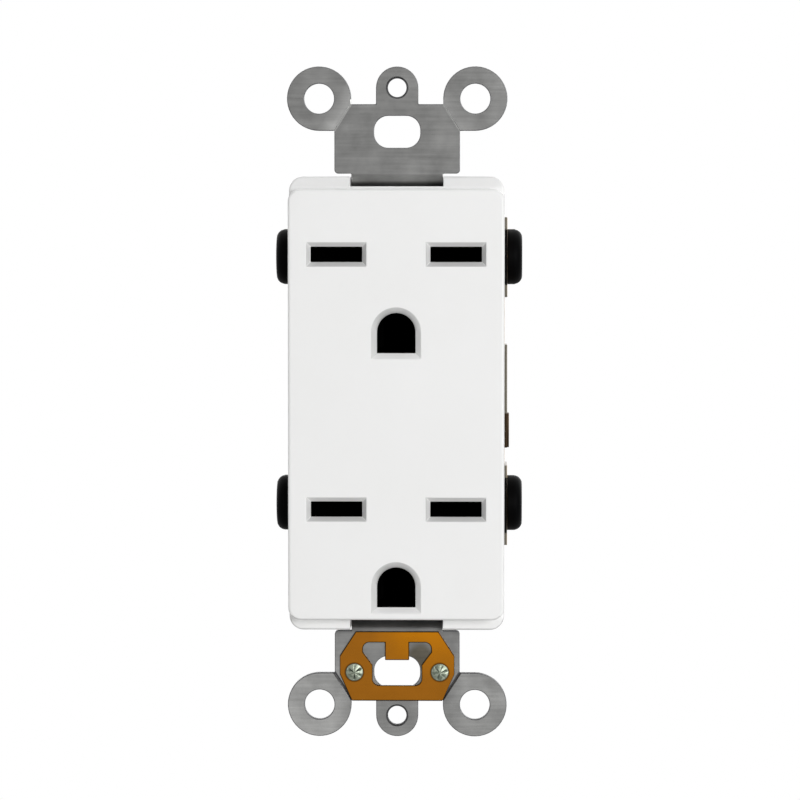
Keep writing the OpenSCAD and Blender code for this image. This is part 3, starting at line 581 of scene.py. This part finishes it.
# Ground clip: a thin spring bronze blank on the front of the strap's lower end.
# Its tongue reaches over the box-screw slot and grips the screw. The stamped edges are painted dark as shade.
rivet_x, rivet_z = 6.6 * mm, -41.67 * mm
rivet_shadow_from, rivet_shadow_to, edge_w = 1.38 * mm, 1.62 * mm, 0.13 * mm

# Rolled bronze: smooth orange-brown metal, with painted light to the upper right and painted shadow round the
# rivets.
bronze = new_finish("rolled_bronze")
place = add(bronze, "TexCoord").outputs["Object"]
spot = add(bronze, "SeparateXYZ", {"Vector": place}).outputs
along_roll = add(bronze, "Mapping", {"Vector": place,
                 "Scale": (1 / (6 * mm), 1 / (0.3 * mm), 1 / (0.3 * mm))})
rolled = add(bronze, "TexNoise", {"Vector": along_roll, "Scale": 1, "Detail": 3})
clouds = add(bronze, "TexNoise", {"Vector": place, "Scale": 1 / (4 * mm), "Detail": 3})
# Painted light: brighter towards the upper right.
high_up = add(bronze, "MapRange", {"Value": spot["Z"], "From Min": -43 * mm, "From Max": -36 * mm})
to_right = add(bronze, "MapRange", {"Value": spot["X"], "From Min": -4 * mm, "From Max": 1.5 * mm})
brighter = add(bronze, "Math", {0: high_up, 1: to_right}, operation="MULTIPLY")
metal = add(bronze, "Mix", {"Factor": brighter, "A": colour("#8A5616"), "B": colour("#A4660E")}, **tint)
tone = add(bronze, "Math", {0: rolled, 1: clouds}, operation="ADD")
tone = add(bronze, "MapRange", {"Value": tone, "From Min": 0.6, "From Max": 1.4,
           "To Min": 0.96, "To Max": 1.04})
metal = add(bronze, "Mix", {"Factor": 1.0, "A": metal, "B": tone}, **times)
# Painted shadow round each rivet.
beside = add(bronze, "Math", {0: spot["X"]}, operation="ABSOLUTE")
beside = add(bronze, "Math", {0: beside, 1: rivet_x}, operation="SUBTRACT")
above = add(bronze, "Math", {0: spot["Z"], 1: rivet_z}, operation="SUBTRACT")
from_rivet = add(bronze, "CombineXYZ", {"X": beside, "Y": above})
from_rivet = add(bronze, "VectorMath", {0: from_rivet}, operation="LENGTH")
rivet_shadow = add(bronze, "MapRange", {"Value": from_rivet, "From Min": rivet_shadow_from, "From Max": rivet_shadow_to,
             "To Min": 0.8, "To Max": 0.0})
metal = add(bronze, "Mix", {"Factor": rivet_shadow, "A": metal, "B": colour("#24180A")}, **tint)
rough = add(bronze, "MapRange", {"Value": clouds, "To Min": 0.24, "To Max": 0.32})
shader = add(bronze, "BsdfPrincipled", {"Base Color": metal, "Roughness": rough, "Metallic": 1.0})
add(bronze, "OutputMaterial", {"Surface": shader})

# Stamped bronze: the edge that the punch leaves, dull, and painted dark brown as shade.
stamped_edge_shade = cut_metal("stamped_bronze_edge", "#24180A", "#45300F")

clip = finished_copy("ground_clip", edge_w, [bronze, stamped_edge_shade], edge_slot=1)
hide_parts("ground_clip")
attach(clip, "housing")


# Clip rivets: two small zinc plated rivets whose heads were split and spread by a star-shaped punch.
# The punch leaves six creases between the petals, painted dark as shade. Behind, the shank is flush with the
# strap.
rivet_d, head_d, dome_h, rim_h = 1.75 * mm, 2.66 * mm, 0.31 * mm, 0.08 * mm
rings, ring_w = 9, 0.13 * mm
petal, second_turn = 60, 17
crease_depth, crease_shares = 0.14 * mm, (1.0, 0.5, 0.9, 0.4, 1.0, 0.6)
crease_half, crease_spread, crease_end, dark_rim = 9, 8, 0.93, 0.9

# Peened zinc: patchy grey-green petals, half bright, with painted shade in the creases and painted shadow on
# the rim.
peened = new_finish("peened_zinc_plated_steel")
place = add(peened, "TexCoord").outputs["Object"]
clouds = add(peened, "TexNoise", {"Vector": place, "Scale": 1 / (0.55 * mm), "Detail": 2})
patches = add(peened, "MapRange", {"Value": clouds, "From Min": 0.38, "From Max": 0.62})
film = add(peened, "Mix", {"Factor": patches, "A": colour("#666E61"), "B": colour("#8E9486")}, **tint)
crease = add(peened, "Attribute", attribute_name="crease").outputs["Fac"]
film = add(peened, "Mix", {"Factor": crease, "A": film, "B": colour("#454C44")}, **tint)
shader = add(peened, "BsdfPrincipled", {"Base Color": film, "Roughness": 0.4, "Metallic": 1.0})
add(peened, "OutputMaterial", {"Surface": shader})

low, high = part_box("ground_clip_rivets")
z = (low.z + high.z) / 2
base_y = low.y + dome_h
rim_y = base_y - rim_h
pieces = []
for number, x in enumerate((low.x + head_d / 2, high.x - head_d / 2)):
    rivet = round_bar("clip_rivet", 72, head_d / 2, (x, base_y, z), (x, rim_y, z))
    bpy.ops.object.mode_set(mode="EDIT")
    pick("FACE", lambda p: p.y < rim_y + near)
    for ring in range(rings):
        bpy.ops.mesh.inset(thickness=ring_w)
    bpy.ops.mesh.poke()
    bpy.ops.object.mode_set(mode="OBJECT")
    # The attribute holds painted shade: in the creases, as shadow on the outer rim, and all over below the
    # head's top.
    mark = rivet.data.attributes.new("crease", "FLOAT", "POINT")
    for index, vertex in enumerate(rivet.data.vertices):
        mark.data[index].value = 1
        if vertex.co.y < rim_y + near:
            offset = vertex.co - Vector((x, vertex.co.y, z))
            share = offset.length / (head_d / 2)
            angle = (math.degrees(math.atan2(offset.z, offset.x)) + second_turn * number) % 360
            from_crease = abs(angle % petal - petal / 2)
            depth = max(0, 1 - from_crease / (crease_half + crease_spread * share))
            depth *= min(1, share * 4) * max(0, min(1, (crease_end - share) * 6))
            depth *= crease_shares[int(angle // petal)]
            rise = (dome_h - rim_h) * (1 - share ** 2)
            vertex.co.y = rim_y - rise + depth * crease_depth
            mark.data[index].value = max(depth, min(1, (share - dark_rim) * 9))
    shank = round_bar("clip_rivet_shank", 32, rivet_d / 2, (x, base_y - 0.02 * mm, z), (x, high.y, z))
    pieces += [rivet, shank]
clip_rivets = join(pieces)
clip_rivets.name = "ground_clip_rivets_finished"
dress(clip_rivets, peened)
smooth(clip_rivets, 50)
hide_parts("ground_clip_rivets")
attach(clip_rivets, "housing")


# Ground washer: a square steel washer, zinc plated, held under the head of the ground screw.
# It goes in with the screw and presses the ground wire on to the strap's tab.
edge_w = 0.14 * mm
washer = finished_copy("ground_washer", edge_w, [bright_zinc])
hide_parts("ground_washer")
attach(washer, "ground_washer")


# Ground screw: a hexagon-headed steel screw, zinc plated and dyed green, driven into the strap's tab.
# The corners of the hexagon are turned off, and the head has a slot as well.
hex_d, hex_h, head_drop, hex_slot_deep = 8.2 * mm, 2.0 * mm, 0.4 * mm, 0.9 * mm
turned_from_d, turned_to_d, edge_w = hex_d + 2.4 * mm, hex_d * 0.88, 0.1 * mm

# Green zinc: a transparent dye over bright plating, so a deep green with a metallic shine.
green_zinc = plated("green_dyed_zinc", 1.1 * mm, "#1E5A31", "#3F8A52", 0.28, 0.45, metallic=0.85)

low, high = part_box("ground_screw")
axis_y, axis_z = (low.y + high.y) / 2, (low.z + high.z) / 2
top, under, tip = low.x + head_drop, low.x + hex_h, high.x
head = round_bar("ground_screw_head", 6, hex_d / 2, on_axis(under), on_axis(top))
cut(head, round_bar("turned_corners", 96, turned_from_d / 2, on_axis(under + 0.2 * mm), on_axis(top - near),
                    turned_to_d / 2), "INTERSECT")
cut(head, block((top - mm, axis_y - hex_d, axis_z - slot_w / 2),
                (top + hex_slot_deep, axis_y + hex_d, axis_z + slot_w / 2)))
break_edges(head, edge_w, sharper_than=36)
turns = math.floor((tip - under - point_h) / pitch)
start = tip - point_h - turns * pitch
point = round_bar("ground_screw_point", 32, root_r - point_taper, on_axis(tip),
                  on_axis(tip - point_h - overlap), root_r)
neck = round_bar("ground_screw_neck", 32, root_r, on_axis(under - overlap), on_axis(start + 0.3 * pitch))
ground_screw = join([head, thread(start, turns), point, neck])
ground_screw.name = "ground_screw_finished"
dress(ground_screw, green_zinc)
smooth(ground_screw)
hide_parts("ground_screw")
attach(ground_screw, "ground_screw")


# Face cover: the white half that shows in the room, injection moulded in nylon with a satin skin.
# Its front edges are rounded, and each opening has a bevelled mouth that leads the plug in.
# Behind the face a slightly taller flange closes the body. The walls of the openings are painted black as
# shade.
openings_half_w, openings_half_h, bevel_back_y = 14 * mm, 32 * mm, -7.32 * mm
ground_half_w, face_end_z, flange_z = 4.6 * mm, 32.2 * mm, 33.4 * mm
edge_w, wall_below, downward_below = 0.07 * mm, 0.3, -0.15

# Moulded nylon: an even soft white, barely mottled, with a fine grain in its sheen.
nylon = new_finish("white_moulded_nylon")
coordinates = add(nylon, "TexCoord").outputs
place = coordinates["Object"]
spot = add(nylon, "SeparateXYZ", {"Vector": place}).outputs
normal = add(nylon, "SeparateXYZ", {"Vector": coordinates["Normal"]}).outputs
skin = add(nylon, "TexNoise", {"Vector": place, "Scale": 1 / (0.3 * mm), "Detail": 3})
flow = add(nylon, "TexNoise", {"Vector": place, "Scale": 1 / (14 * mm), "Detail": 2})
white = add(nylon, "Mix", {"Factor": flow, "A": colour("#EBEBEA"), "B": colour("#EFEFEF")}, **tint)

# Rounded edges and bevels get painted shade, greyer than the flat faces, but not along the top.
facing = add(nylon, "Math", {0: normal["Y"]}, operation="ABSOLUTE")
turned = add(nylon, "ValToRGB", {"Fac": facing})
set_tones(turned, ((0, 1.0), (0.2, 0.79), (0.59, 0.8), (0.66, 1.0), (1, 1.0)))
below_top = add(nylon, "Math", {0: spot["Z"], 1: face_end_z}, operation="LESS_THAN")
white = add(nylon, "Mix", {"Factor": below_top, "A": white, "B": turned}, **times)

# The flange is greyer than the face: painted shade.
out_z = add(nylon, "Math", {0: spot["Z"]}, operation="ABSOLUTE")
shaded = add(nylon, "MapRange", {"Value": out_z, "From Min": flange_z - 0.4 * mm, "From Max": flange_z,
             "To Min": 1.0, "To Max": 0.93})
white = add(nylon, "Mix", {"Factor": 1.0, "A": white, "B": shaded}, **times)

# Painted light and shade in the ground openings' mouths: faces turned left or up paler, right or down greyer.
in_mouth = add(nylon, "Math", {0: spot["X"]}, operation="ABSOLUTE")
in_mouth = add(nylon, "Math", {0: in_mouth, 1: ground_half_w}, operation="LESS_THAN")
inner = add(nylon, "Math", {0: out_z, 1: face_end_z}, operation="LESS_THAN")
in_mouth = add(nylon, "Math", {0: in_mouth, 1: inner}, operation="MULTIPLY")
to_right = ((0, 1.07), (0.3, 1.07), (0.48, 1.0), (0.52, 1.0), (0.75, 0.8), (1, 0.8))
upwards = ((0, 0.7), (0.175, 0.7), (0.425, 1.0), (0.65, 1.0), (0.8, 1.07), (1, 1.07))
for way, tones in (("X", to_right), ("Z", upwards)):
    turn = add(nylon, "MapRange", {"Value": normal[way], "From Min": -1.0})
    mouth = add(nylon, "ValToRGB", {"Fac": turn})
    set_tones(mouth, tones)
    white = add(nylon, "Mix", {"Factor": in_mouth, "A": white, "B": mouth}, **times)

# The bottom edges have a grey outline of painted shade, on the flange all round its corners.
bottom = add(nylon, "Math", {0: spot["Z"], 1: -face_end_z}, operation="LESS_THAN")
downward = add(nylon, "Math", {0: normal["Z"], 1: downward_below}, operation="LESS_THAN")
bottom = add(nylon, "Math", {0: bottom, 1: downward}, operation="MULTIPLY")
foot = add(nylon, "Math", {0: spot["Z"], 1: -flange_z}, operation="LESS_THAN")
bottom = add(nylon, "Math", {0: bottom, 1: foot}, operation="MAXIMUM")
lined = add(nylon, "ValToRGB", {"Fac": facing})
set_tones(lined, ((0, 1.0), (0.15, 0.8), (0.85, 0.8), (0.95, 1.0), (1, 1.0)))
white = add(nylon, "Mix", {"Factor": bottom, "A": white, "B": lined}, **times)
# The flange's lowest edge is painted darker as shade.
low_edge = add(nylon, "MapRange", {"Value": spot["Z"], "From Min": -34.65 * mm, "From Max": -34.4 * mm,
               "To Min": 0.84, "To Max": 1.0}, interpolation_type="SMOOTHSTEP")
white = add(nylon, "Mix", {"Factor": 1.0, "A": white, "B": low_edge}, **times)
rough = add(nylon, "MapRange", {"Value": skin, "To Min": 0.34, "To Max": 0.44})
relief = add(nylon, "Bump", {"Height": skin, "Strength": 0.08, "Distance": 0.01 * mm})
shader = add(nylon, "BsdfPrincipled", {"Base Color": white, "Roughness": rough, "Normal": relief,
             "IOR": 1.53, "Specular IOR Level": 0.35})
add(nylon, "OutputMaterial", {"Surface": shader})


def past_bevel(point, normal):
    in_opening = abs(point.x) < openings_half_w and abs(point.z) < openings_half_h
    return in_opening and point.y > bevel_back_y and abs(normal.y) < wall_below


cover = finished_copy("face_cover", edge_w, [nylon, unlit])
# The walls of the openings past the bevels take the black of painted shade.
finish_faces(cover, 1, past_bevel)
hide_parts("face_cover")
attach(cover, "housing")


# Assembly screws: two zinc plated pan-head screws, put in from behind through strap and body.
# They pull the cover on to the body. The cross recess is pressed with sloping walls.
head_d, head_h, head_r, edge_w = 6.0 * mm, 1.7 * mm, 0.85 * mm, 0.07 * mm
shank_d, shank_edge, shank_lap = 3.2 * mm, 0.6 * mm, 0.4 * mm
recess_w, recess_arm, recess_deep, recess_taper = 3.6 * mm, 0.96 * mm, 1.1 * mm, 0.62
low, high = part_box("assembly_screws")
under, top = high.y - head_h, high.y
pieces = []
for z in (low.z + head_d / 2, high.z - head_d / 2):
    head = round_bar("assembly_screw_head", 56, head_d / 2, (0, under, z), (0, top, z))
    bpy.ops.object.mode_set(mode="EDIT")
    pick("EDGE", lambda p: p.y > top - near)
    bpy.ops.mesh.bevel(offset=head_r, segments=6, affect="EDGES")
    bpy.ops.object.mode_set(mode="OBJECT")
    for wide, tall in ((recess_w, recess_arm), (recess_arm, recess_w)):
        recess = block((-wide / 2, top - recess_deep, z - tall / 2), (wide / 2, top + 0.2 * mm, z + tall / 2))
        bpy.ops.object.mode_set(mode="EDIT")
        pick("VERT", lambda p: p.y < top - recess_deep + near)
        bpy.ops.transform.resize(value=(recess_taper, 1, recess_taper),
                                 center_override=(0, top - recess_deep, z))
        bpy.ops.object.mode_set(mode="OBJECT")
        cut(head, recess)
    break_edges(head, edge_w, sharper_than=40)
    rod = round_bar("assembly_screw_rod", 40, shank_d / 2, (0, low.y, z), (0, under + shank_lap, z))
    bpy.ops.object.mode_set(mode="EDIT")
    pick("EDGE", lambda p: p.y < low.y + near)
    bpy.ops.mesh.bevel(offset=shank_edge, segments=1, affect="EDGES")
    bpy.ops.object.mode_set(mode="OBJECT")
    pieces += [head, rod]
screws = join(pieces)
screws.name = "assembly_screws_finished"
dress(screws, bright_zinc)
smooth(screws, 40)
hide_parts("assembly_screws")
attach(screws, "housing")


# Floor: a plain pale sheet some way below the outlet, which keeps its soft shadow.
# Past the shadow it turns to the white of the background, and from below it isn't seen.
floor_w, floor_z = 3.0, -150 * mm
bpy.ops.object.select_all(action="DESELECT")
bpy.ops.mesh.primitive_plane_add(size=floor_w, location=(0, 0, floor_z))
floor = bpy.context.object
floor.name = "floor"
bpy.ops.object.transform_apply(location=True, rotation=True, scale=True)


def is_seen(material):
    ray = add(material, "LightPath").outputs
    seen = add(material, "Math", {0: ray["Is Camera Ray"], 1: ray["Is Glossy Ray"]}, operation="MAXIMUM")
    return add(material, "Math", {0: seen, 1: ray["Is Transmission Ray"]}, operation="MAXIMUM")


# White paper: matt near the outlet, where it takes the shadow, and turning to plain white further off.
paper = new_finish("white_paper")
place = add(paper, "TexCoord").outputs["Object"]
radius = add(paper, "VectorMath", {0: place, 1: (1, 1, 0)}, operation="MULTIPLY")
radius = add(paper, "VectorMath", {0: radius}, operation="LENGTH")
far = add(paper, "MapRange", {"Value": radius, "From Min": 150 * mm, "From Max": 420 * mm,
          "To Min": 0.5, "To Max": 1.0}, interpolation_type="SMOOTHSTEP")
glowing = add(paper, "Math", {0: is_seen(paper), 1: far}, operation="MULTIPLY")
matt = add(paper, "BsdfDiffuse", {"Color": colour("#E2E2E1")})
glow = add(paper, "Emission", {"Color": (1, 1, 1, 1), "Strength": 1.0})
sheet = add(paper, "MixShader", {0: glowing, 1: matt, 2: glow})
below = add(paper, "NewGeometry").outputs["Backfacing"]
clear = add(paper, "BsdfTransparent")
sheet = add(paper, "MixShader", {0: below, 1: sheet, 2: clear})
add(paper, "OutputMaterial", {"Surface": sheet})
floor.data.materials.append(paper)


# Light: a soft key lamp a little to the right of the camera, weaker lamps at the sides, behind and above,
# and an even pale room. A lamp's share is the part of a white face's light that it gives.
def lamp(name, towards, distance, size, share):
    data = bpy.data.lights.new(name, "AREA")
    data.shape, data.size = "DISK", size
    data.energy = math.pi ** 2 * share * distance ** 2
    light = bpy.data.objects.new(name, data)
    bpy.context.scene.collection.objects.link(light)
    towards = Vector(towards).normalized()
    light.location = towards * distance
    light.rotation_euler = towards.to_track_quat("Z", "Y").to_euler()
    light.visible_camera = False


lamp("key_lamp", (0.32, -0.72, 0.1), distance=1.6, size=0.64, share=0.645)
lamp("left_lamp", (-0.85, 0.45, 0.3), distance=1.0, size=1.2, share=0.38)
lamp("right_lamp", (0.85, 0.5, 0.3), distance=1.0, size=1.2, share=0.3)
lamp("back_lamp", (0.1, 0.95, 0.25), distance=1.0, size=1.2, share=0.45)
lamp("top_lamp", (0.1, 0.25, 0.96), distance=1.0, size=1.2, share=0.4)

room = bpy.data.worlds.new("pale_room")
bpy.context.scene.world = room
room.use_nodes = True
room.node_tree.nodes.clear()
strength = add(room, "MapRange", {"Value": is_seen(room), "To Min": 0.2, "To Max": 1.0})
sky = add(room, "Background", {"Color": (1, 1, 1, 1), "Strength": strength})
add(room, "OutputWorld", {"Surface": sky})


# Camera: a long lens 600 mm from the face, slightly above it and to its right, as in the photograph.
# It looks at a point on the face close to its middle.
distance, side, rise = 600 * mm, math.radians(1.3), math.radians(3.0)
aim = Vector((0.6, -8.3, 0.8)) * mm
away = Vector((math.sin(side) * math.cos(rise), -math.cos(side) * math.cos(rise), math.sin(rise)))
camera = bpy.data.objects.new("camera", bpy.data.cameras.new("camera"))
bpy.context.scene.collection.objects.link(camera)
camera.data.lens, camera.data.sensor_width = 177.3, 36
camera.data.clip_start = 0.02
camera.location = aim + away * distance
camera.rotation_euler = away.to_track_quat("Z", "Y").to_euler()
bpy.context.scene.camera = camera
bpy.context.scene.view_settings.view_transform = "Standard"
